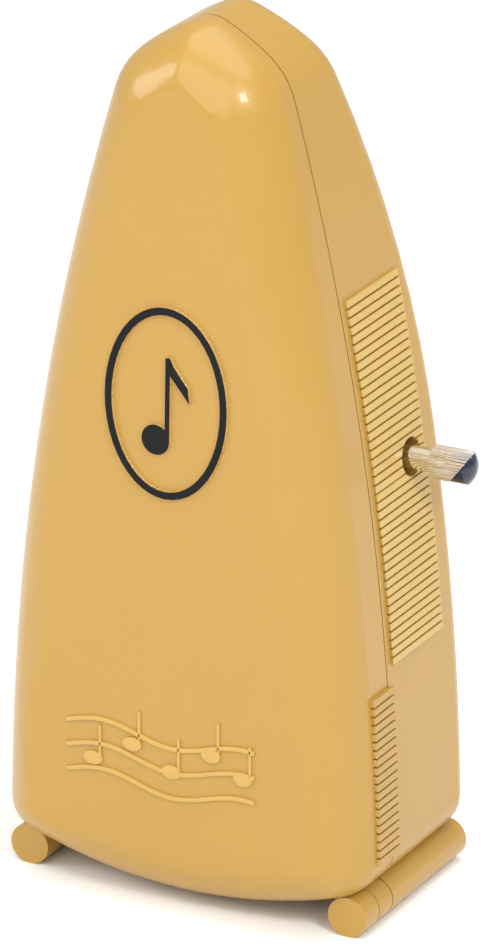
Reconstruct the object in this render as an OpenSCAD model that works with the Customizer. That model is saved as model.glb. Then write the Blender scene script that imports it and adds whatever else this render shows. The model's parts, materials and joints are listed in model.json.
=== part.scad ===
// Small clockwork metronome: two-part moulded case, front cover, wind-up movement and pendulum.
// The model stands on z = 0, the front looks along -Y and the winding key is on the +X side.

/* [Case] */
// Height of the case above the table
case_h = 154.2; // [145:0.1:186]
// Widest half-width of the case
half_w = 34.4; // [32:0.1:42]
// Half-width where the sides meet the roof
shoulder_half_w = 15.4; // [13:0.1:19]
// Drop from the top of the roof to the shoulders
shoulder_drop = 13.2; // [12:0.1:16]
// Height of the widest point of the sides
widest_z = 2; // [0:0.5:8]
// Depth of the front cover
cover_depth = 16.45; // [15.5:0.05:20]
// Depth of the rear case
case_depth = 27.4; // [27:0.1:33]
// Wall of the rear case
case_wall = 1.9; // [1.6:0.1:2]
// Wall of the front cover
cover_wall = 1.8; // [1.4:0.1:2.2]
// Edge rounding of the cover's front
front_round = 10; // [6:0.5:11]
// Edge rounding of the case's back
rear_round = 4; // [3:0.5:6]
// Lowest point of the belly above the table
belly_z = 1.3; // [0.8:0.1:3]
// Gap between the cover's rim and the case
cover_gap = 0.3; // [0.2:0.05:0.5]
// How far the cover's front leans back from this height on
front_lean_z = 50; // [40:1:60]
// How far the back leans forward from this height on
rear_lean_z = 78; // [74:1:90]

/* [Side ribs] */
// Distance from one rib to the next
rib_pitch = 1.5; // [1.4:0.05:1.8]
// Width of the gap between two ribs
rib_gap = 0.35; // [0.3:0.05:0.5]
// How far the ribs stand out
rib_out = 0.5; // [0.3:0.1:0.8]
// Number of ribs on each side of the rear case
case_ribs = 42; // [30:1:44]
// Lowest case rib
case_rib_z = 45.6; // [44:0.1:50]
// Number of grip ribs on each side of the cover
grip_ribs = 20; // [12:1:22]
// Lowest grip rib
grip_rib_z = 12.5; // [12:0.1:15]

/* [Feet] */
// Radius of the two round feet
foot_r = 3.6; // [3:0.1:4.2]
// Distance between the feet
foot_spacing = 61.1; // [56:0.1:64]
// Height of the foot's axis, a little under its radius so that it stands on a flat
foot_z = 3.5; // [2.9:0.1:4.1]
// How far the feet reach in front of the parting line
foot_front = 9.85; // [8:0.05:12]

/* [Winding key] */
// Height of the key
key_z = 77.5; // [70:0.5:80]
// Distance of the key behind the parting line
key_y = 14.6; // [14.4:0.1:17.6]
// Radius of the key stem
key_stem_r = 2.05; // [1.8:0.05:2.4]
// Radius of the knurled sleeve
key_sleeve_r = 2.9; // [2.6:0.05:3.1]
// Clearance of the stem in the case's hole
key_hole_gap = 1.25; // [0.8:0.05:1.4]
// How far the stem shows outside the case
key_stem_out = 4.4; // [3:0.1:8]
// Length of the knurled sleeve at its longest
key_sleeve_len = 7.2; // [6:0.1:9]

/* [Movement] */
// Gear module of the train
gear_module = 0.5; // [0.46:0.01:0.52]
// Teeth of the great wheel and of the second wheel
wheel_teeth = 30; // [28:1:31]
// Leaves of the pinions
pinion_leaves = 10; // [10:1:11]
// Teeth of the escape wheel
escape_teeth = 15; // [12:1:18]
// Radius of the escape wheel over its teeth
escape_r = 5.8; // [5:0.1:6]
// Radius of the train's arbors
arbor_r = 0.8; // [0.7:0.05:0.9]
// Radius of the winding arbor
winding_r = 1.5; // [1.3:0.05:1.6]
// Radial running clearance of every shaft in its hole
running_gap = 0.05; // [0.03:0.01:0.08]
// Radius of the wound-up mainspring
spring_r = 7.1; // [6.5:0.1:7.2]
// Turns of the mainspring
spring_turns = 7; // [5:1:8]
// Thickness of the movement plates
plate_t = 1.2; // [1:0.1:1.5]

/* [Pendulum] */
// Height of the pendulum's pivot
pivot_z = 50; // [49:0.5:51]
// Plane of the rod in front of the parting line
rod_y = 6; // [5.8:0.1:6.4]
// Height of the rod's tip
rod_tip_z = 137; // [125:1:138]
// Width of the rod
rod_w = 2.6; // [2.2:0.1:3]
// Thickness of the rod
rod_t = 0.8; // [0.6:0.1:1]
// Radius of the counterweight
bob_r = 10.5; // [9:0.5:11]
// Thickness of the counterweight
bob_t = 6.6; // [5:0.1:6.8]
// Drop from the pivot to the middle of the counterweight
bob_drop = 30; // [28:0.5:32]
// Height of the sliding weight's middle at rest
weight_z = 100; // [90:1:110]
// Height of the sliding weight
weight_h = 10; // [8:0.5:12]

/* [Badge] */
// Half-width of the oval badge
badge_half_w = 11.4; // [8:0.1:12]
// Half-height of the oval badge
badge_half_h = 16.6; // [12:0.1:17]
// Height of the badge's middle
badge_z = 92; // [80:1:96]
// Width of the oval band
badge_band = 1.3; // [1:0.1:2]

/* [Hidden] */

fine = 48;
plastic = "goldenrod";
steel = "silver";
brass_tint = "gold";

// ---- Outline of the case: tangent arcs, worked out from their centres ----
belly_r = 90;
corner_r = 7;
shoulder_r = 13;
roof_r = 40;
apex_r = 6;
roof_off = 14.1;
shoulder_z = case_h - shoulder_drop;
side_rise = shoulder_z - widest_z;
side_in = half_w - shoulder_half_w;
side_r = (side_rise * side_rise + side_in * side_in) / (2 * side_in);
belly_c = [0, belly_z + belly_r];
side_c = [half_w - side_r, widest_z];
apex_c = [0, case_h - apex_r];
roof_c = [-roof_off, apex_c[1] - sqrt(pow(roof_r - apex_r, 2) - roof_off * roof_off)];

// Upper or lower crossing of two circles, on the +X side
function meet(a, ra, b, rb, up) =
    let (d = norm(b - a))
    let (along = (ra * ra - rb * rb + d * d) / (2 * d))
    let (off = sqrt(ra * ra - along * along))
    let (dir = (b - a) / d)
    a + along * dir + (up ? 1 : -1) * off * [-dir[1], dir[0]];

corner_c = meet(belly_c, belly_r - corner_r, side_c, side_r - corner_r, true);
shoulder_c = meet(side_c, side_r - shoulder_r, roof_c, roof_r - shoulder_r, true);

function heading(from, to) = atan2(to[1] - from[1], to[0] - from[0]);
// Points on an arc, each with its outward direction, as [x, z, direction]
function arc_marks(c, r, from, to, steps) =
    [for (i = [0 : steps - 1]) let (a = from + (to - from) * i / steps)
        [c[0] + r * cos(a), c[1] + r * sin(a), a]];

belly_turn = heading(belly_c, corner_c);
side_low = heading(side_c, corner_c);
side_high = heading(side_c, shoulder_c);
roof_low = heading(roof_c, shoulder_c);
roof_high = heading(roof_c, apex_c);
half_marks = concat(
    arc_marks(belly_c, belly_r, -90, belly_turn, 8),
    arc_marks(corner_c, corner_r, belly_turn, side_low, 5),
    arc_marks(side_c, side_r, side_low, side_high, 16),
    arc_marks(shoulder_c, shoulder_r, side_high, roof_low, 5),
    arc_marks(roof_c, roof_r, roof_low, roof_high, 4),
    arc_marks(apex_c, apex_r, roof_high, 90, 3)
);
half_count = len(half_marks);
marks = concat(
    half_marks,
    [[0, case_h, 90]],
    [for (i = [half_count - 1 : -1 : 1]) let (m = half_marks[i]) [-m[0], m[1], 180 - m[2]]]
);

// ---- Side view: the front leans back and the back leans forward, both on arcs ----
front_lean_r = 1300;
rear_lean_top = 14.5161;
rear_lean_r = pow(case_h - rear_lean_z, 2) / (2 * rear_lean_top);
function front_y(z) = -cover_depth + pow(max(0, z - front_lean_z), 2) / (2 * front_lean_r);
function rear_y(z) = case_depth - pow(max(0, z - rear_lean_z), 2) / (2 * rear_lean_r);
// Half-width of the case at a height on its sides
function side_x(z) = side_c[0] + sqrt(side_r * side_r - pow(z - side_c[1], 2));

// One loop of the skin: the outline moved in by a wall and by the rounding at this angle.
// A wall thinner than the rounding leaves the rest of it inside.
function skin_loop(edge_y, way, wall, round_r, turn) =
    [for (m = marks)
        let (in = wall + (round_r - wall) * (1 - cos(turn)))
        let (x = m[0] - in * cos(m[2]))
        let (z = m[1] - in * sin(m[2]))
        let (face = edge_y == "front" ? front_y(z) : rear_y(z))
        [x, face - way * (wall + (round_r - wall) * (1 - sin(turn))), z]];

// Half a body between the parting plane and its rounded face
module skin(edge_y, way, wall, round_r, rim_y) {
    rim = [for (m = marks) [m[0] - wall * cos(m[2]), rim_y, m[1] - wall * sin(m[2])]];
    loops = concat([rim], [for (a = [0 : 15 : 90]) skin_loop(edge_y, way, wall, round_r, a)]);
    count = len(marks);
    last = len(loops) - 1;
    points = [for (l = loops) for (p = l) p];
    walls = [for (k = [0 : last - 1]) for (i = [0 : count - 1])
        [k * count + i, k * count + (i + 1) % count, (k + 1) * count + (i + 1) % count, (k + 1) * count + i]];
    ends = [[for (i = [count - 1 : -1 : 0]) i], [for (i = [0 : count - 1]) last * count + i]];
    hull() polyhedron(points, concat(walls, ends));
}

// Flat outline of the case, moved in by an amount, as a slab along +Y from y0 to y1
module outline_slab(in, y0, y1) {
    translate([0, y1, 0]) rotate([90, 0, 0]) linear_extrude(y1 - y0)
        polygon([for (m = marks) [m[0] - in * cos(m[2]), m[1] - in * sin(m[2])]]);
}

// A cylinder along +Y, from y0 to y1
module rod_along_y(r, x, z, y0, y1) {
    translate([x, y1, z]) rotate([90, 0, 0]) cylinder(h = y1 - y0, r = r, $fn = fine);
}

// A cylinder along +X, from x0 to x1
module rod_along_x(r, y, z, x0, x1) {
    translate([x0, y, z]) rotate([0, 90, 0]) cylinder(h = x1 - x0, r = r, $fn = fine);
}

// Everything in children, and the same mirrored to the other side
module both_sides() {
    children();
    mirror([1, 0, 0]) children();
}

// A column of ribs on the +X side, from the depth in_x below the surface to out_x above it
module rib_column(count, low_z, in_x, out_x, y0, y1) {
    bar = rib_pitch - rib_gap;
    for (i = [0 : count - 1]) {
        z0 = low_z + i * rib_pitch;
        translate([0, y1, 0]) rotate([90, 0, 0]) linear_extrude(y1 - y0)
            polygon([
                [side_x(z0) - in_x, z0], [side_x(z0) + out_x, z0],
                [side_x(z0 + bar) + out_x, z0 + bar], [side_x(z0 + bar) - in_x, z0 + bar]
            ]);
    }
}

// ---- Case ----
rib_front_y = 1.5;
rib_rear_y = 19.6;
rib_root = 0.6;
post_r = 2.6;
post_low = [20, 17];
post_high = [9, 126];
screw_r = 1;
screw_head_r = 2;
face_y = 0.6;
face_t = 1.5;
face_back = face_y + face_t;
face_gap = 0.15;
rear_inner_y = case_depth - case_wall;
boss_r = 3.6;
boss_y = 20.5;
pad_t = 0.4;
frame_rear_y = rear_inner_y - pad_t;
left_plate_x = -13;
right_plate_x = 12;
frame_low_z = 50.5;
frame_high_z = 91;
pad_low_z = 54;
pad_high_z = 76;

function post_end_y(z) = rear_y(z) - case_wall / 2;

module posts(r, y0, past) {
    both_sides() {
        rod_along_y(r, post_low[0], post_low[1], y0, post_end_y(post_low[1]) - past);
        rod_along_y(r, post_high[0], post_high[1], y0, post_end_y(post_high[1]) - past);
    }
}

module rear_case() {
    pilot_depth = 8;
    translate(case_at) color(plastic) difference() {
        union() {
            difference() {
                skin("rear", 1, 0, rear_round, 0);
                skin("rear", 1, case_wall, rear_round, -1);
            }
            both_sides() rib_column(case_ribs, case_rib_z, rib_root, rib_out, rib_front_y, rib_rear_y);
            posts(post_r, face_back, 0);
            rod_along_y(boss_r, 0, pivot_z, boss_y, case_depth - case_wall / 2);
            for (x = [left_plate_x, right_plate_x])
                translate([x, frame_rear_y, pad_low_z])
                    cube([plate_t, pad_t + case_wall / 2, pad_high_z - pad_low_z]);
        }
        rod_along_x(key_stem_r + key_hole_gap, key_y, key_z, side_x(key_z) - 2 * case_wall, half_w + rib_out);
        rod_along_y(rear_bush_r, 0, pivot_z, boss_y - 1, boss_y + bush_len);
        both_sides() {
            rod_along_y(screw_r, post_low[0], post_low[1], face_back - 1, face_back + pilot_depth);
            rod_along_y(screw_r, post_high[0], post_high[1], face_back - 1, face_back + pilot_depth);
            rod_along_y(foot_r, foot_spacing / 2, foot_z, -1, case_depth);
        }
    }
}

module face_plate() {
    translate(case_at) color("wheat") difference() {
        outline_slab(case_wall + face_gap, face_y, face_back);
        rod_along_y(front_bush_r, 0, pivot_z, face_y - 1, face_back + 1);
        both_sides() {
            rod_along_y(screw_r, post_low[0], post_low[1], face_y - 1, face_back + 1);
            rod_along_y(screw_r, post_high[0], post_high[1], face_y - 1, face_back + 1);
        }
    }
}

scale_t = 0.4;
scale_half_w = 6.5;
scale_low_z = 60;
scale_high_z = 122;

module scale_plate() {
    translate(case_at) color("whitesmoke") translate([-scale_half_w, face_y - scale_t, scale_low_z])
        cube([2 * scale_half_w, scale_t, scale_high_z - scale_low_z]);
}

module face_screw(x, z) {
    head_t = 1.1;
    shank_len = 7;
    slot_w = 0.5;
    difference() {
        union() {
            rod_along_y(screw_head_r, x, z, face_y - head_t, face_y);
            rod_along_y(screw_r, x, z, face_y - 0.1, face_y + shank_len);
        }
        translate([x - slot_w / 2, face_y - head_t - 1, z - screw_head_r])
            cube([slot_w, 1.5, 2 * screw_head_r]);
    }
}

module face_screws() {
    translate(case_at) color(steel) both_sides() {
        face_screw(post_low[0], post_low[1]);
        face_screw(post_high[0], post_high[1]);
    }
}

module foot_bar(side, y0, y1) {
    difference() {
        rod_along_y(foot_r, side * foot_spacing / 2, foot_z, y0, y1);
        translate([side * foot_spacing / 2 - foot_r, y0 - 1, -foot_r])
            cube([2 * foot_r, y1 - y0 + 2, foot_r]);
    }
}

module left_foot() {
    translate(case_at) color(plastic) foot_bar(-1, 0, case_depth - 0.4);
}

module right_foot() {
    translate(case_at) color(plastic) foot_bar(1, 0, case_depth - 0.4);
}

// ---- Cover ----
grip_front_y = -6.5;
grip_rear_y = 0.8;
grip_out = 0.7;
foot_groove_y = -5.2;
foot_groove = 0.15;

module front_cover() {
    translate(case_at) color(plastic) difference() {
        union() {
            difference() {
                skin("front", -1, 0, front_round, -cover_gap);
                skin("front", -1, cover_wall, front_round, 1);
            }
            both_sides() {
                rib_column(grip_ribs, grip_rib_z, rib_root, grip_out, grip_front_y, -cover_gap);
                rib_column(grip_ribs, grip_rib_z, -cover_gap, grip_out, -2 * cover_gap, grip_rear_y);
            }
        }
        both_sides() rod_along_y(foot_r, foot_spacing / 2, foot_z, -cover_depth, 1);
    }
}

module foot_end(side) {
    difference() {
        foot_bar(side, -foot_front, -cover_gap);
        difference() {
            rod_along_y(foot_r + 1, side * foot_spacing / 2, foot_z, foot_groove_y, foot_groove_y + 0.3);
            rod_along_y(foot_r - foot_groove, side * foot_spacing / 2, foot_z, foot_groove_y - 1, foot_groove_y + 1);
        }
    }
}

module left_foot_end() {
    translate(case_at) color(plastic) foot_end(-1);
}

module right_foot_end() {
    translate(case_at) color(plastic) foot_end(1);
}

badge_t = 1;
badge_sunk = 0.4;
badge_lean = atan((badge_z - front_lean_z) / front_lean_r);

// Children drawn in the plane of the badge, then stood on the cover's front
module on_badge() {
    translate([0, front_y(badge_z) + badge_sunk, badge_z]) rotate([90 - badge_lean, 0, 0])
        linear_extrude(badge_t) children();
}

module oval(in) {
    polygon([for (a = [0 : 7.5 : 352.5]) [(badge_half_w - in) * cos(a), (badge_half_h - in) * sin(a)]]);
}

module badge_oval() {
    translate(case_at) color("black") on_badge() difference() {
        oval(0);
        oval(badge_band);
    }
}

// An eighth note: a slanted head, a stem and a flag of straight edges
module badge_note() {
    head_at = [-1.8, -6.5];
    head_r = 2.6;
    stem_x = head_at[0] + head_r - 0.9;
    stem_top = 8;
    translate(case_at) color("black") on_badge() {
        translate(head_at) circle(r = head_r, $fn = fine);
        polygon([
            [stem_x, head_at[1]], [stem_x + 0.9, head_at[1]], [stem_x + 0.9, stem_top - 3],
            [stem_x + 4.6, stem_top - 7.4], [stem_x + 4.2, stem_top - 4.6],
            [stem_x + 1.6, stem_top - 1.4], [stem_x + 0.9, stem_top], [stem_x, stem_top]
        ]);
    }
}

// ---- Catch and rest clip on the face plate ----
module cover_catch() {
    tongue_w = 8;
    tongue_t = 0.6;
    top_z = case_h - cover_wall - 4;
    translate(case_at) color(steel) {
        translate([-tongue_w / 2, face_y - tongue_t, top_z - 6]) cube([tongue_w, tongue_t, 6]);
        translate([-tongue_w / 2, -3.6, top_z - tongue_t]) cube([tongue_w, 3.6 + face_y, tongue_t]);
    }
}

clip_gap = 0.7;

module rest_clip() {
    clip_z = rod_tip_z - 7;
    clip_h = 3;
    ear_w = 1;
    ear_front = -rod_y + rod_t / 2 + clip_gap;
    translate(case_at) color(steel) difference() {
        translate([-rod_w / 2 - ear_w, ear_front, clip_z])
            cube([rod_w + 2 * ear_w, face_y - ear_front, clip_h]);
        translate([-rod_w / 2, ear_front - 1, clip_z - 1])
            cube([rod_w, 3, clip_h + 2]);
    }
}

// ---- Movement frame ----
train_drop = gear_module * (wheel_teeth + pinion_leaves) / 2;
second_shift = 4;
key_at = [key_y, key_z];
second_at = [key_y - second_shift, key_z - sqrt(train_drop * train_drop - second_shift * second_shift)];
escape_at = [second_at[0], second_at[1] - train_drop];
pillar_r = 1.4;
pillar_places = [
    [4.2, frame_low_z + 2.6], [frame_rear_y - 3, frame_low_z + 6],
    [4.2, frame_high_z - 4], [frame_rear_y - 4, frame_high_z - 3.2]
];
spigot_r = 0.8;

module movement_plate(x) {
    corner = 3;
    translate(case_at) color(brass_tint) difference() {
        intersection() {
            translate([x, face_back, frame_low_z])
                cube([plate_t, frame_rear_y - face_back, frame_high_z - frame_low_z]);
            translate([x - 1, 0, 0]) rotate([90, 0, 90]) linear_extrude(plate_t + 2)
                polygon([
                    [0, frame_low_z], [frame_rear_y + 1, frame_low_z],
                    [frame_rear_y + 1, frame_high_z - corner - 1], [frame_rear_y - corner, frame_high_z],
                    [0, frame_high_z]
                ]);
        }
        rod_along_x(winding_r + running_gap, key_at[0], key_at[1], x - 1, x + plate_t + 1);
        for (at = [second_at, escape_at])
            rod_along_x(arbor_r + running_gap, at[0], at[1], x - 1, x + plate_t + 1);
        for (at = pillar_places)
            rod_along_x(spigot_r, at[0], at[1], x - 1, x + plate_t + 1);
    }
}

module left_plate() {
    movement_plate(left_plate_x);
}

module right_plate() {
    movement_plate(right_plate_x);
}

module pillars() {
    head = 0.4;
    inner_x = left_plate_x + plate_t;
    translate(case_at) color(steel) for (at = pillar_places) {
        rod_along_x(pillar_r, at[0], at[1], inner_x, right_plate_x);
        rod_along_x(spigot_r, at[0], at[1], left_plate_x - head, right_plate_x + plate_t + head);
    }
}

pendulum_r = 1;
bush_len = 3;
front_bush_r = 2.4;
rear_bush_r = 2.2;

module bush(r, y0, y1, flange_y0, flange_y1) {
    flange_r = r + 1.2;
    difference() {
        union() {
            rod_along_y(r, 0, pivot_z, y0, y1);
            rod_along_y(flange_r, 0, pivot_z, flange_y0, flange_y1);
        }
        rod_along_y(pendulum_r + running_gap, 0, pivot_z, y0 - 2, y1 + 2);
    }
}

module front_bush() {
    translate(case_at) color(brass_tint) bush(front_bush_r, face_y - 0.8, face_back, face_y - 0.8, face_y);
}

module rear_bush() {
    translate(case_at) color(brass_tint) bush(rear_bush_r, boss_y - 0.6, boss_y + bush_len, boss_y - 0.6, boss_y);
}

// ---- Gear shapes, drawn around the origin ----
// A wheel with straight-flanked teeth: thin at the tip and wider at the root
module toothed(teeth, tip_r, root_r) {
    step = 360 / teeth;
    polygon([for (i = [0 : teeth - 1]) for (c = [
        [root_r, -0.3], [tip_r, -0.12], [tip_r, 0.12], [root_r, 0.3]
    ]) [c[0] * cos((i + c[1]) * step), c[0] * sin((i + c[1]) * step)]]);
}

// Hooked teeth that take a push one way only
module hooked(teeth, tip_r, root_r) {
    step = 360 / teeth;
    polygon([for (i = [0 : teeth - 1]) for (c = [[root_r, 0], [tip_r, 0.05], [tip_r, 0.15]])
        [c[0] * cos((i + c[1]) * step), c[0] * sin((i + c[1]) * step)]]);
}

// Children, drawn flat, stood across an arbor along X from x0 to x1 and turned by an angle
module across(at, x0, x1, turned = 0) {
    translate([x0, at[0], at[1]]) rotate([90, 0, 90]) linear_extrude(x1 - x0)
        rotate(turned) children();
}

wheel_r = gear_module * wheel_teeth / 2;
pinion_r = gear_module * pinion_leaves / 2;
addendum = 0.85 * gear_module;
dedendum = 1.15 * gear_module;
gear_t = 1.3;
great_x = -6.6;
second_x = 6;
ratchet_x = -8.4;
pinion_over = 0.2;
mesh_turn = atan2(second_at[1] - key_at[1], second_at[0] - key_at[0]);

module wheel_shape(hub_r, spokes = 4) {
    rim = 1.8;
    spoke_w = 1.4;
    difference() {
        toothed(wheel_teeth, wheel_r + addendum, wheel_r - dedendum);
        difference() {
            circle(r = wheel_r - dedendum - rim, $fn = fine);
            circle(r = hub_r + 1.4, $fn = fine);
            for (i = [0 : spokes - 1]) rotate(i * 360 / spokes)
                translate([0, -spoke_w / 2]) square([wheel_r - rim, spoke_w]);
        }
        circle(r = hub_r, $fn = fine);
    }
}

// ---- Key and winding arbor ----
key_face_x = side_x(key_z) + rib_out;
sleeve_x = key_face_x + key_stem_out;
sleeve_end_x = sleeve_x + key_sleeve_len;
stem_in_x = right_plate_x + plate_t + 1.6;

module winding_arbor() {
    hook = 0.5;
    translate(case_at) color(steel) {
        rod_along_x(winding_r, key_at[0], key_at[1], left_plate_x - 1, key_face_x + 1);
        rod_along_x(winding_r + hook, key_at[0], key_at[1], great_x + gear_t + 0.4, second_x - 1.6);
    }
}

module key_stem() {
    translate(case_at) color(steel) difference() {
        rod_along_x(key_stem_r, key_at[0], key_at[1], stem_in_x, sleeve_x + 2);
        rod_along_x(winding_r, key_at[0], key_at[1], stem_in_x - 1, key_face_x + 1);
    }
}

cut_lean = 38;
cut_turn = 13;

// Space beyond the slanting end of the key
module beyond_cut(in) {
    size = 30;
    translate([sleeve_end_x - in, key_y, key_z + key_sleeve_r]) rotate([cut_turn, 0, 0])
        rotate([0, cut_lean, 0]) translate([0, -size / 2, -size / 2]) cube(size);
}

module key_sleeve() {
    flutes = 36;
    flute_r = 0.12;
    translate(case_at) color(steel) difference() {
        rod_along_x(key_sleeve_r, key_at[0], key_at[1], sleeve_x, sleeve_end_x);
        rod_along_x(key_stem_r, key_at[0], key_at[1], sleeve_x - 1, sleeve_x + 2);
        rod_along_x(insert_r, key_at[0], key_at[1], sleeve_x + 2, sleeve_end_x + 1);
        beyond_cut(0);
        for (i = [0 : flutes - 1]) across(key_at, sleeve_x - 1, sleeve_end_x + 1, i * 360 / flutes)
            translate([key_sleeve_r + flute_r / 2, 0]) circle(r = flute_r * 1.5, $fn = 6);
    }
}

insert_r = 2.4;
head_r = key_sleeve_r - 0.1;
head_out = 0.4;
insert_gap = 0.02;
dome_r = 4.2;
insert_end_x = sleeve_end_x + head_out;

// A core inside the sleeve and a domed head that fills out the slanting cut
module key_insert() {
    core_end_x = sleeve_end_x - 2 * key_sleeve_r;
    translate(case_at) color("midnightblue") {
        rod_along_x(insert_r - insert_gap, key_at[0], key_at[1], sleeve_x + 2, core_end_x);
        intersection() {
            rod_along_x(head_r, key_at[0], key_at[1], sleeve_x + 2, insert_end_x);
            translate([insert_end_x - dome_r, key_at[0], key_at[1]]) sphere(r = dome_r, $fn = fine);
            beyond_cut(-insert_gap);
        }
        difference() {
            rod_along_x(insert_r - insert_gap, key_at[0], key_at[1], sleeve_x + 2, sleeve_end_x);
            beyond_cut(-2 * insert_gap);
        }
    }
}

module ratchet_wheel() {
    teeth = 12;
    translate(case_at) color(steel) difference() {
        across(key_at, ratchet_x, great_x - 0.3) hooked(teeth, ratchet_tip_r, ratchet_tip_r - 0.9);
        rod_along_x(winding_r, key_at[0], key_at[1], ratchet_x - 1, great_x);
    }
}

ratchet_tip_r = 3.6;

// ---- Train ----
module great_wheel() {
    translate(case_at) color(brass_tint) across(key_at, great_x, great_x + gear_t, mesh_turn)
        wheel_shape(winding_r + running_gap);
}

click_pivot_r = 5.2;
stud_r = 0.5;
click_at = key_at + click_pivot_r * [cos(mesh_turn + 90), sin(mesh_turn + 90)];

module click_stud() {
    translate(case_at) color(steel) rod_along_x(stud_r, click_at[0], click_at[1], ratchet_x - 0.3, great_x);
}

// The click lies beside the ratchet wheel, its nose just clear of the tips
module click() {
    nose = 2.3;
    translate(case_at) color(steel) difference() {
        across(click_at, ratchet_x, great_x - 0.3, mesh_turn) union() {
            circle(r = 1.1, $fn = fine);
            polygon([[0, 1.1], [0, -1.1], [nose, -2], [nose + 0.6, -1.4], [nose, 0.2]]);
        }
        rod_along_x(stud_r + running_gap, click_at[0], click_at[1], ratchet_x - 1, great_x);
    }
}

module click_spring() {
    spring_t = 0.25;
    translate(case_at) color(steel) across(click_at, ratchet_x, great_x, mesh_turn)
        translate([-0.4, 1.45]) square([1.4, spring_t]);
}

module second_arbor() {
    translate(case_at) color(steel) {
        rod_along_x(arbor_r, second_at[0], second_at[1], left_plate_x - 0.4, right_plate_x + plate_t + 0.4);
        across(second_at, great_x - pinion_over, great_x + gear_t + pinion_over, mesh_turn + 180 / pinion_leaves)
            toothed(pinion_leaves, pinion_r + addendum, pinion_r - dedendum);
    }
}

module second_wheel() {
    translate(case_at) color(brass_tint) across(second_at, second_x, second_x + gear_t, -90) wheel_shape(arbor_r);
}

module escape_arbor() {
    translate(case_at) color(steel) {
        rod_along_x(arbor_r, escape_at[0], escape_at[1], left_plate_x - 0.4, right_plate_x + plate_t + 0.4);
        across(escape_at, second_x - pinion_over, second_x + gear_t + pinion_over, -90 + 180 / pinion_leaves)
            toothed(pinion_leaves, pinion_r + addendum, pinion_r - dedendum);
    }
}

module escape_wheel() {
    thick = 1;
    translate(case_at) color(brass_tint) across(escape_at, -thick / 2, thick / 2) difference() {
        hooked(escape_teeth, escape_r, escape_r - 1.3);
        circle(r = arbor_r, $fn = fine);
    }
}

// A flat spring wound on a spiral around the winding arbor, with its outer end held by a pillar
module mainspring() {
    inner_r = winding_r + 0.9;
    strip_t = 0.3;
    steps = spring_turns * 24;
    tail = pillar_places[3] - key_at;
    tail_dir = tail / norm(tail);
    tail_side = strip_t * [tail_dir[1], -tail_dir[0]];
    reach = norm(tail) - pillar_r;
    start = atan2(tail[1], tail[0]) - 360 * spring_turns;
    function coil(i, off) =
        let (r = inner_r + (spring_r - inner_r) * i / steps + off)
        let (a = start + i * 15)
        [r * cos(a), r * sin(a)];
    translate(case_at) color("slategray") across(key_at, great_x + gear_t + 0.6, second_x - 2) polygon(concat(
        [for (i = [0 : steps]) coil(i, 0)],
        [reach * tail_dir, reach * tail_dir + tail_side, (spring_r + strip_t) * tail_dir + tail_side],
        [for (i = [steps - 1 : -1 : 0]) coil(i, strip_t)]
    ));
}

// ---- Pendulum ----
bob_z = pivot_z - bob_drop;

module pendulum_arbor() {
    translate(case_at) color(steel) rod_along_y(pendulum_r, 0, pivot_z, -rod_y - rod_t, boss_y + bush_len - 0.2);
}

module pendulum_rod() {
    translate(case_at) color(steel) difference() {
        translate([-rod_w / 2, -rod_y - rod_t / 2, bob_z])
            cube([rod_w, rod_t, rod_tip_z - bob_z]);
        rod_along_y(pendulum_r, 0, pivot_z, -rod_y - 2, -rod_y + 2);
    }
}

module rod_hub() {
    hub_r = 3;
    translate(case_at) color(brass_tint) difference() {
        rod_along_y(hub_r, 0, pivot_z, -rod_y + rod_t / 2, -rod_y + rod_t / 2 + 2.4);
        rod_along_y(pendulum_r, 0, pivot_z, -rod_y - 2, 0);
    }
}

module counterweight() {
    translate(case_at) color("dimgray") difference() {
        rod_along_y(bob_r, 0, bob_z, -rod_y - bob_t / 2, -rod_y + bob_t / 2);
        translate([-rod_w / 2, -rod_y - rod_t / 2, bob_z])
            cube([rod_w, rod_t, bob_r + 1]);
    }
}

// Two fins on a collar that stand on either side of the escape wheel
module pallets() {
    collar_r = 1.7;
    fin_t = 0.5;
    fin_in = 1.7;
    fin_top = pivot_z + 4.4;
    fin_y = escape_at[0] - 4.2;
    translate(case_at) color(steel) {
        difference() {
            rod_along_y(collar_r, 0, pivot_z, fin_y - 0.4, fin_y + 1.6);
            rod_along_y(pendulum_r, 0, pivot_z, fin_y - 4, fin_y + 4);
        }
        both_sides() {
            translate([pendulum_r + 0.2, fin_y - 0.4, pivot_z - 0.5]) cube([fin_in + fin_t - pendulum_r - 0.2, 1, 1]);
            translate([fin_in, fin_y - 0.4, pivot_z - 0.5]) cube([fin_t, 8.4, fin_top - pivot_z + 0.5]);
        }
    }
}

slot_gap = 0.05;

module sliding_weight() {
    low_half = 5.5;
    high_half = 4;
    thick = 5.2;
    translate(case_at) color(brass_tint) difference() {
        translate([0, -rod_y + thick / 2, weight_z]) rotate([90, 0, 0]) linear_extrude(thick)
            polygon([
                [-low_half, -weight_h / 2], [low_half, -weight_h / 2],
                [high_half, weight_h / 2], [-high_half, weight_h / 2]
            ]);
        translate([-rod_w / 2 - slot_gap, -rod_y - rod_t / 2 - slot_gap, weight_z - weight_h])
            cube([rod_w + 2 * slot_gap, rod_t + 2 * slot_gap, 2 * weight_h]);
        translate([-rod_w / 2 - slot_gap, -rod_y, weight_z - weight_h / 2 + 2])
            cube([rod_w + 2 * slot_gap, rod_t / 2 + slot_gap + spring_room, weight_h - 4]);
    }
}

spring_room = 0.7;

module weight_spring() {
    strip_t = 0.25;
    translate(case_at) color(steel) translate([
        -rod_w / 2 + 0.2, -rod_y + rod_t / 2 + slot_gap + spring_room - strip_t, weight_z - weight_h / 2 + 2
    ]) cube([rod_w - 0.4, strip_t, weight_h - 4]);
}

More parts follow.
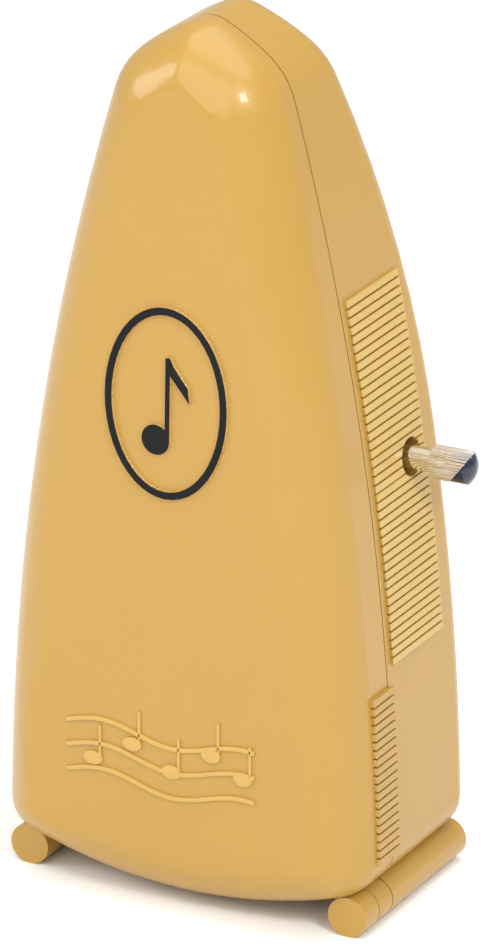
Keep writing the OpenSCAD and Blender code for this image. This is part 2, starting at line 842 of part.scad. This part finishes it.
// The whole model is moved so that its origin is under the middle of its box
box_low_x = -side_x(grip_rib_z) - grip_out;
box_low_y = front_y(badge_z) + badge_sunk - badge_t * cos(badge_lean) - badge_half_h * sin(badge_lean);
case_at = [-(box_low_x + insert_end_x) / 2, -(box_low_y + case_depth) / 2, 0];

rear_case();
face_plate();
scale_plate();
face_screws();
left_foot();
right_foot();
left_plate();
right_plate();
pillars();
front_bush();
rear_bush();
mainspring();
rest_clip();
cover_catch();
front_cover();
badge_oval();
badge_note();
left_foot_end();
right_foot_end();
key_stem();
key_sleeve();
key_insert();
winding_arbor();
ratchet_wheel();
great_wheel();
click_stud();
click_spring();
click();
second_arbor();
second_wheel();
escape_arbor();
escape_wheel();
pendulum_arbor();
pendulum_rod();
rod_hub();
counterweight();
pallets();
sliding_weight();
weight_spring();
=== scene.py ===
"""A clockwork metronome in gold plastic: finishes, raised details, floor, light and camera."""
import json
import math
import bpy
from mathutils import Matrix, Vector


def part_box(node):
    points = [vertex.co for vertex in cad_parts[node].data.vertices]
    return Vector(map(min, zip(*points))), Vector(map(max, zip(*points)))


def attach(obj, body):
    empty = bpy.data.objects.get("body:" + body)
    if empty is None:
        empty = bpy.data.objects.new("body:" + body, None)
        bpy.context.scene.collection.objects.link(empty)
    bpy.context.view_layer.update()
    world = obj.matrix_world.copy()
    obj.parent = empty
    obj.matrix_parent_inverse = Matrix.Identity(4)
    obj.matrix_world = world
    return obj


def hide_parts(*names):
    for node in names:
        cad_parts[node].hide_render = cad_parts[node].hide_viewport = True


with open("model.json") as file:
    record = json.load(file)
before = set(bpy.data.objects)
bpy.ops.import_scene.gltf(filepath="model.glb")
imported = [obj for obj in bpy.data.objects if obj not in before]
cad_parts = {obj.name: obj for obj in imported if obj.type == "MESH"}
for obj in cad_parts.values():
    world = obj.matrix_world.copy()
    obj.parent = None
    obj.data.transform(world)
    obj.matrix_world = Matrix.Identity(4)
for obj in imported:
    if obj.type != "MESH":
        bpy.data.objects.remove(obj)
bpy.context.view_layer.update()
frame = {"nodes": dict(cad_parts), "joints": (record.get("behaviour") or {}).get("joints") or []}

MM = 0.001
swing = next(j for j in frame["joints"] if j["name"] == "pendulum_swing")
mid_x = swing["pos_m"][0]
parting_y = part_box("left_foot")[0].y


def place(x, y, z):
    """A point given in millimetres from the mid-plane, the parting line and the table."""
    return Vector((mid_x + x * MM, parting_y + y * MM, z * MM))


def deselect():
    """Nothing stays selected or in edit mode."""
    if bpy.context.object and bpy.context.object.mode != "OBJECT":
        bpy.ops.object.mode_set(mode="OBJECT")
    bpy.ops.object.select_all(action="DESELECT")


def pick(piece):
    """Only this piece is selected and active."""
    deselect()
    piece.select_set(True)
    bpy.context.view_layer.objects.active = piece


# ---------------------------------------------------------------- camera

camera_at = (533.0, -971.1, 523.0)
turn, lift = math.radians(28.45), math.radians(22.08)
right = Vector((math.cos(turn), math.sin(turn), 0))
back = Vector((math.sin(turn) * math.cos(lift), -math.cos(turn) * math.cos(lift), math.sin(lift)))
up = back.cross(right)
camera_data = bpy.data.cameras.new("camera")
camera = bpy.data.objects.new("camera", camera_data)
bpy.context.scene.collection.objects.link(camera)
camera_axes = Matrix((right, up, back)).transposed().to_4x4()
camera.matrix_world = Matrix.Translation(place(*camera_at)) @ camera_axes
camera_data.lens = 272.6
camera_data.sensor_width = 36
camera_data.clip_start = 0.05
bpy.context.scene.camera = camera
bpy.context.scene.view_settings.view_transform = "Standard"

# ---------------------------------------------------------------- shared surface effects


def effect_group(name, inputs, outputs):
    """An empty node group with named inputs and outputs."""
    group = bpy.data.node_groups.new(name, "ShaderNodeTree")
    for label, default in inputs:
        socket = group.interface.new_socket(label, in_out="INPUT", socket_type="NodeSocketFloat")
        socket.default_value = default
    for label in outputs:
        group.interface.new_socket(label, in_out="OUTPUT", socket_type="NodeSocketFloat")
    return group, group.nodes.new("NodeGroupInput"), group.nodes.new("NodeGroupOutput")


def moulded_skin():
    """Fine pebble and slow mottling of moulded plastic or castings."""
    group, given, result = effect_group(
        "moulded skin", [("Grain Scale", 2600), ("Mottle Scale", 55)], ["Mottle", "Height"]
    )
    place_node = group.nodes.new("ShaderNodeTexCoord")
    grain = group.nodes.new("ShaderNodeTexNoise")
    mottle = group.nodes.new("ShaderNodeTexNoise")
    grain.inputs["Detail"].default_value = 3
    mottle.inputs["Detail"].default_value = 4
    group.links.new(place_node.outputs["Object"], grain.inputs["Vector"])
    group.links.new(place_node.outputs["Object"], mottle.inputs["Vector"])
    group.links.new(given.outputs["Grain Scale"], grain.inputs["Scale"])
    group.links.new(given.outputs["Mottle Scale"], mottle.inputs["Scale"])
    group.links.new(mottle.outputs["Fac"], result.inputs["Mottle"])
    group.links.new(grain.outputs["Fac"], result.inputs["Height"])
    return group


def turned_lines():
    """Fine lines left by turning or brushing, running round the X axis."""
    group, given, result = effect_group("turned lines", [("Line Scale", 900)], ["Mottle", "Height"])
    place_node = group.nodes.new("ShaderNodeTexCoord")
    stretch = group.nodes.new("ShaderNodeMapping")
    lines = group.nodes.new("ShaderNodeTexNoise")
    stretch.inputs["Scale"].default_value = (6, 0.4, 0.4)
    lines.inputs["Detail"].default_value = 5
    group.links.new(place_node.outputs["Object"], stretch.inputs["Vector"])
    group.links.new(stretch.outputs["Vector"], lines.inputs["Vector"])
    group.links.new(given.outputs["Line Scale"], lines.inputs["Scale"])
    group.links.new(lines.outputs["Fac"], result.inputs["Mottle"])
    group.links.new(lines.outputs["Fac"], result.inputs["Height"])
    return group


skin = moulded_skin()
lines = turned_lines()


def linear(r, g, b):
    """A screen colour out of 255 as light."""
    dark_end = 10
    return tuple(
        c / 255 / 12.92 if c <= dark_end else ((c / 255 + 0.055) / 1.055) ** 2.4 for c in (r, g, b)
    )


def finish(
    name, colour, effect, metallic=0.0, rough=(0.3, 0.4), bump=0.02, coat=0.0, edge=0.2, shade=0.9, gleam=0.5
):
    """A material whose colour, gloss and relief vary over the surface, with softly rounded edges."""
    material = bpy.data.materials.new(name)
    material.use_nodes = True
    nodes, links = material.node_tree.nodes, material.node_tree.links
    shader = nodes["Principled BSDF"]
    surface = nodes.new("ShaderNodeGroup")
    surface.node_tree = effect
    tint = nodes.new("ShaderNodeMix")
    tint.data_type = "RGBA"
    tint.inputs["A"].default_value = (*[c * shade for c in colour], 1)
    tint.inputs["B"].default_value = (*colour, 1)
    gloss = nodes.new("ShaderNodeMapRange")
    gloss.inputs["To Min"].default_value, gloss.inputs["To Max"].default_value = rough
    relief = nodes.new("ShaderNodeBump")
    relief.inputs["Strength"].default_value = bump
    relief.inputs["Distance"].default_value = 0.1 * MM
    soft_edge = nodes.new("ShaderNodeBevel")
    soft_edge.samples = 4
    soft_edge.inputs["Radius"].default_value = edge * MM
    links.new(surface.outputs["Mottle"], tint.inputs["Factor"])
    links.new(surface.outputs["Mottle"], gloss.inputs["Value"])
    links.new(surface.outputs["Height"], relief.inputs["Height"])
    links.new(soft_edge.outputs["Normal"], relief.inputs["Normal"])
    links.new(tint.outputs["Result"], shader.inputs["Base Color"])
    links.new(gloss.outputs["Result"], shader.inputs["Roughness"])
    links.new(relief.outputs["Normal"], shader.inputs["Normal"])
    shader.inputs["Metallic"].default_value = metallic
    shader.inputs["Coat Weight"].default_value = coat
    shader.inputs["Specular IOR Level"].default_value = gleam
    return material


gold_plastic = finish(
    "gold plastic", linear(178, 139, 62), skin,
    rough=(0.28, 0.36), bump=0.03, coat=0.2, edge=0.08, shade=0.96, gleam=0.4,
)
pale_plastic = finish("pale face plastic", linear(214, 194, 146), skin, rough=(0.4, 0.5), bump=0.06)
enamel = finish("scale enamel", linear(246, 242, 230), skin, rough=(0.45, 0.55))
scale_ink = finish("scale ink", linear(26, 24, 22), skin, rough=(0.5, 0.6))
bright_steel = finish(
    "bright steel", linear(200, 201, 204), lines,
    metallic=1, rough=(0.2, 0.34), bump=0.08,
)
blued_steel = finish(
    "blued spring steel", linear(92, 100, 122), lines,
    metallic=1, rough=(0.24, 0.36),
)
rolled_brass = finish(
    "rolled brass", linear(222, 184, 104), lines,
    metallic=1, rough=(0.22, 0.36), bump=0.08,
)
key_chrome = finish(
    "plated chrome", linear(236, 236, 238), lines,
    metallic=1, rough=(0.08, 0.15), bump=0.008, edge=0.04,
)
key_black = finish("blue-black insert", linear(20, 28, 52), skin, rough=(0.12, 0.2), coat=0.4)
badge_black = finish(
    "polished black", linear(9, 9, 11), skin,
    rough=(0.3, 0.4), bump=0.01, edge=0.06, gleam=0.2,
)
# a lighter copy of the case gold for the rib faces: painted highlight, standing in for the light the ribs
# catch
rib_gold_painted_light = finish(
    "rib faces with painted highlight", linear(197, 164, 84), skin,
    rough=(0.26, 0.34), bump=0.03, coat=0.2, edge=0.05, gleam=0.4,
)
raised_gold = finish(
    "raised gold relief", linear(196, 158, 82), skin,
    rough=(0.28, 0.36), bump=0.02, coat=0.1, edge=0.03, gleam=0.4,
)
badge_gilt = finish(
    "gilt edge", linear(232, 206, 142), lines,
    metallic=0.6, rough=(0.22, 0.32), edge=0.1,
)
grey_casting = finish(
    "grey casting", linear(120, 120, 122), skin,
    metallic=0.7, rough=(0.45, 0.62), bump=0.4,
)
nickel = finish(
    "satin nickel", linear(214, 208, 192), lines,
    metallic=1, rough=(0.24, 0.36), bump=0.06,
)

node_finish = {
    gold_plastic: ("rear_case", "front_cover", "left_foot", "right_foot", "left_foot_end", "right_foot_end"),
    pale_plastic: ("face_plate", "cover_catch"),
    enamel: ("scale_plate",),
    bright_steel: (
        "face_screws", "pillars", "winding_arbor", "ratchet_wheel", "click_stud", "click",
        "second_arbor", "escape_arbor", "pendulum_arbor", "pendulum_rod", "pallets", "rest_clip",
    ),
    blued_steel: ("mainspring", "click_spring", "weight_spring"),
    rolled_brass: (
        "left_plate", "right_plate", "front_bush", "rear_bush", "great_wheel", "second_wheel",
        "escape_wheel", "rod_hub",
    ),
    key_chrome: ("key_stem", "key_sleeve"),
    key_black: ("key_insert",),
    badge_black: ("badge_oval", "badge_note"),
    grey_casting: ("counterweight",),
    nickel: ("sliding_weight",),
}


def set_finish(piece, material):
    """The piece has this one material."""
    piece.data.materials.clear()
    piece.data.materials.append(material)


for material, names in node_finish.items():
    for name in names:
        set_finish(frame["nodes"][name], material)

# ---------------------------------------------------------------- smooth moulded pieces


def smooth_copy(node, body, new_name):
    """The node's shape with its curved faces joined up and shaded smooth."""
    source = frame["nodes"][node]
    piece = bpy.data.objects.new(new_name, source.data.copy())
    bpy.context.scene.collection.objects.link(piece)
    pick(piece)
    bpy.ops.object.mode_set(mode="EDIT")
    bpy.ops.mesh.select_all(action="SELECT")
    bpy.ops.mesh.remove_doubles(threshold=0.002 * MM)
    bpy.ops.mesh.dissolve_limited(angle_limit=math.radians(0.4))
    bpy.ops.object.mode_set(mode="OBJECT")
    bpy.ops.object.shade_smooth_by_angle(angle=math.radians(21))
    flatter = piece.modifiers.new("flat faces stay flat", "WEIGHTED_NORMAL")
    flatter.keep_sharp = True
    bpy.ops.object.modifier_apply(modifier=flatter.name)
    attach(piece, body)
    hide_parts(node)
    return piece


for node, body, slot, new_name in (
    ("rear_case", "case", "case_plastic", "case_shell"),
    ("left_foot", "case", "case_plastic", "foot_left"),
    ("right_foot", "case", "case_plastic", "foot_right"),
    ("front_cover", "cover", "case_plastic", "cover_shell"),
    ("left_foot_end", "cover", "case_plastic", "foot_end_left"),
    ("right_foot_end", "cover", "case_plastic", "foot_end_right"),
    ("key_stem", "key", "key_chrome", "winding_stem"),
    ("key_sleeve", "key", "key_chrome", "winding_sleeve"),
    ("key_insert", "key", "insert_black", "winding_insert"),
    ("sliding_weight", "weight", "weight_finish", "tempo_weight"),
    ("counterweight", "pendulum", "cast_weight", "lower_weight"),
    ("rod_hub", "pendulum", "brass", "hub"),
):
    smooth_copy(node, body, new_name)

# the rib faces of the case get a lighter copy of the case gold, a painted highlight, so they look brighter
# than the side that they stand on
side_r, widest, widest_z, rib_low, rib_high, rib_out = 518.0, 34.4, 2.0, 45.0, 110.0, 0.3


def side_half_width(z):
    """Half the width of the case's plain side at a height, in millimetres."""
    return widest - side_r + math.sqrt(side_r**2 - (z - widest_z) ** 2)


case_shell = bpy.data.objects["case_shell"]
case_shell.data.materials.append(rib_gold_painted_light)
for face in case_shell.data.polygons:
    z = face.center.z / MM
    proud = abs(face.center.x - mid_x) / MM - side_half_width(z)
    if rib_low < z < rib_high and proud > rib_out and abs(face.normal.x) > 0.9:
        face.material_index = 1

# the badge pieces are black on their faces and gilt on their raised edges
for node, new_name in (("badge_oval", "oval_band"), ("badge_note", "badge_quaver")):
    badge = smooth_copy(node, "cover", new_name)
    badge.data.materials.append(badge_gilt)
    for face in badge.data.polygons:
        face.material_index = 0 if face.normal.y < -0.9 else 1

# ---------------------------------------------------------------- raised ornament on the cover


def wavy_line(name, low_z, front_y):
    """One raised staff line, pulled out step by step along a gentle wave."""
    steps, start_x, step_x, wave, tall = 28, -19.0, 1.27, 1.3, 0.8
    deselect()
    bpy.ops.mesh.primitive_plane_add(
        size=1, location=place(start_x, front_y, low_z), rotation=(math.pi / 2, 0, 0)
    )
    piece = bpy.context.object
    piece.name = name
    piece.scale = (0.3 * MM, tall * MM, 1)
    bpy.ops.object.transform_apply(location=True, rotation=True, scale=True)
    bpy.ops.object.mode_set(mode="EDIT")
    for i in range(steps):
        bpy.ops.mesh.select_all(action="DESELECT")
        bpy.ops.object.mode_set(mode="OBJECT")
        far_x = max(v.co.x for v in piece.data.vertices)
        for v in piece.data.vertices:
            v.select = v.co.x > far_x - 0.01 * MM
        for e in piece.data.edges:
            e.select = all(piece.data.vertices[k].select for k in e.vertices)
        bpy.ops.object.mode_set(mode="EDIT")
        rise = wave * (math.sin((i + 1) * 0.3) - math.sin(i * 0.3))
        onward = {"value": (step_x * MM, 0, rise * MM)}
        bpy.ops.mesh.extrude_region_move(TRANSFORM_OT_translate=onward)
    bpy.ops.object.mode_set(mode="OBJECT")
    wall = piece.modifiers.new("thickness", "SOLIDIFY")
    wall.thickness = 0.6 * MM
    wall.offset = 0
    bpy.ops.object.modifier_apply(modifier=wall.name)
    rounding = piece.modifiers.new("rounding", "BEVEL")
    rounding.width = 0.12 * MM
    rounding.segments = 2
    bpy.ops.object.modifier_apply(modifier=rounding.name)
    return piece


def round_note(name, x, z, front_y):
    """One raised note: a leaning oval head with a stem."""
    deselect()
    bpy.ops.mesh.primitive_cylinder_add(
        vertices=28,
        radius=1.5 * MM,
        depth=0.7 * MM,
        location=place(x, front_y, z),
        rotation=(math.pi / 2, 0, 0),
    )
    head = bpy.context.object
    head.scale = (1.2, 0.85, 1)
    bpy.ops.object.transform_apply(location=True, rotation=True, scale=True)
    bpy.ops.mesh.primitive_cube_add(size=1, location=place(x + 1.35, front_y, z + 3.1))
    stem = bpy.context.object
    stem.scale = (0.5 * MM, 0.6 * MM, 6.2 * MM)
    bpy.ops.object.transform_apply(location=True, rotation=True, scale=True)
    for part in (head, stem):
        pick(part)
        rounding = part.modifiers.new("rounding", "BEVEL")
        rounding.width = 0.14 * MM
        rounding.segments = 2
        rounding.limit_method = "ANGLE"
        bpy.ops.object.modifier_apply(modifier=rounding.name)
    deselect()
    head.select_set(True)
    stem.select_set(True)
    bpy.context.view_layer.objects.active = head
    bpy.ops.object.join()
    head.name = name
    return head


def settle(piece, body, material):
    """Normals outward, place in the mesh, finish and body set."""
    pick(piece)
    bpy.ops.object.transform_apply(location=True, rotation=True, scale=True)
    bpy.ops.object.mode_set(mode="EDIT")
    bpy.ops.mesh.select_all(action="SELECT")
    bpy.ops.mesh.remove_doubles(threshold=0.001 * MM)
    bpy.ops.mesh.normals_make_consistent(inside=False)
    bpy.ops.object.mode_set(mode="OBJECT")
    bpy.ops.object.shade_smooth_by_angle(angle=math.radians(32))
    set_finish(piece, material)
    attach(piece, body)


cover_front = (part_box("front_cover")[0].y - parting_y) / MM
relief_y = cover_front - 0.1
for i, low_z in enumerate((23.0, 27.5, 32.0)):
    settle(wavy_line(f"staff_line_{i + 1}", low_z, relief_y), "cover", raised_gold)
for i, (x, z) in enumerate(((-14, 26), (-6.5, 30), (1, 26.5), (8.5, 31), (14.5, 28))):
    settle(round_note(f"staff_note_{i + 1}", x, z, relief_y), "cover", raised_gold)

# ---------------------------------------------------------------- tempo scale behind the rod

scale_low, scale_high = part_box("scale_plate")
scale_y = scale_low.y
span = scale_high.z - scale_low.z


def tempo_mark(tempo, low_z, side):
    """A tick and its number on the scale."""
    deselect()
    bpy.ops.mesh.primitive_cube_add(size=1, location=(mid_x + side * 2.6 * MM, scale_y, low_z))
    tick = bpy.context.object
    tick.scale = (2.6 * MM, 0.16 * MM, 0.28 * MM)
    bpy.ops.object.transform_apply(location=True, rotation=True, scale=True)
    number_at = (mid_x + side * 4.9 * MM, scale_y - 0.02 * MM, low_z - 0.8 * MM)
    bpy.ops.object.text_add(location=number_at, rotation=(math.pi / 2, 0, 0))
    number = bpy.context.object
    number.data.body = str(tempo)
    number.data.size = 2.2 * MM
    number.data.align_x = "CENTER"
    number.data.extrude = 0.05 * MM
    bpy.ops.object.convert(target="MESH")
    deselect()
    tick.select_set(True)
    number.select_set(True)
    bpy.context.view_layer.objects.active = tick
    bpy.ops.object.join()
    tick.name = f"tempo_{tempo}"
    settle(tick, "case", scale_ink)


tempos = (208, 184, 160, 138, 120, 104, 88, 76, 66, 58, 50, 44, 40)
for i, tempo in enumerate(tempos):
    up_the_scale = 0.05 + 0.9 * i / (len(tempos) - 1)
    tempo_mark(tempo, scale_low.z + span * up_the_scale, 1 if i % 2 else -1)

# ---------------------------------------------------------------- floor and light

deselect()
bpy.ops.mesh.primitive_plane_add(size=8, location=(0, 0, 0))
floor = bpy.context.object
floor.name = "floor"
floor_paper = bpy.data.materials.new("white paper")
floor_paper.use_nodes = True
floor_paper.node_tree.nodes["Principled BSDF"].inputs["Base Color"].default_value = (0.93, 0.93, 0.93, 1)
floor_paper.node_tree.nodes["Principled BSDF"].inputs["Roughness"].default_value = 0.9
set_finish(floor, floor_paper)

world = bpy.data.worlds.new("studio")
world.use_nodes = True
world.node_tree.nodes["Background"].inputs["Color"].default_value = (1, 1, 1, 1)
world.node_tree.nodes["Background"].inputs["Strength"].default_value = 0.62
bpy.context.scene.world = world


def soft_light(name, at, size, power):
    """A square soft light that faces the middle of the object."""
    data = bpy.data.lights.new(name, "AREA")
    data.size = size
    data.energy = power
    lamp = bpy.data.objects.new(name, data)
    bpy.context.scene.collection.objects.link(lamp)
    lamp.location = at
    lamp.rotation_euler = (place(0, 5, 80) - Vector(at)).to_track_quat("-Z", "Y").to_euler()


soft_light("front light", (0.1, -1.0, 0.8), 0.9, 6)
soft_light("edge light", (0.95, -0.6, 1.0), 0.3, 9)
soft_light("left light", (-0.9, -0.5, 0.5), 0.4, 3)
soft_light("top light", (0.1, 0.1, 1.2), 1.0, 8)
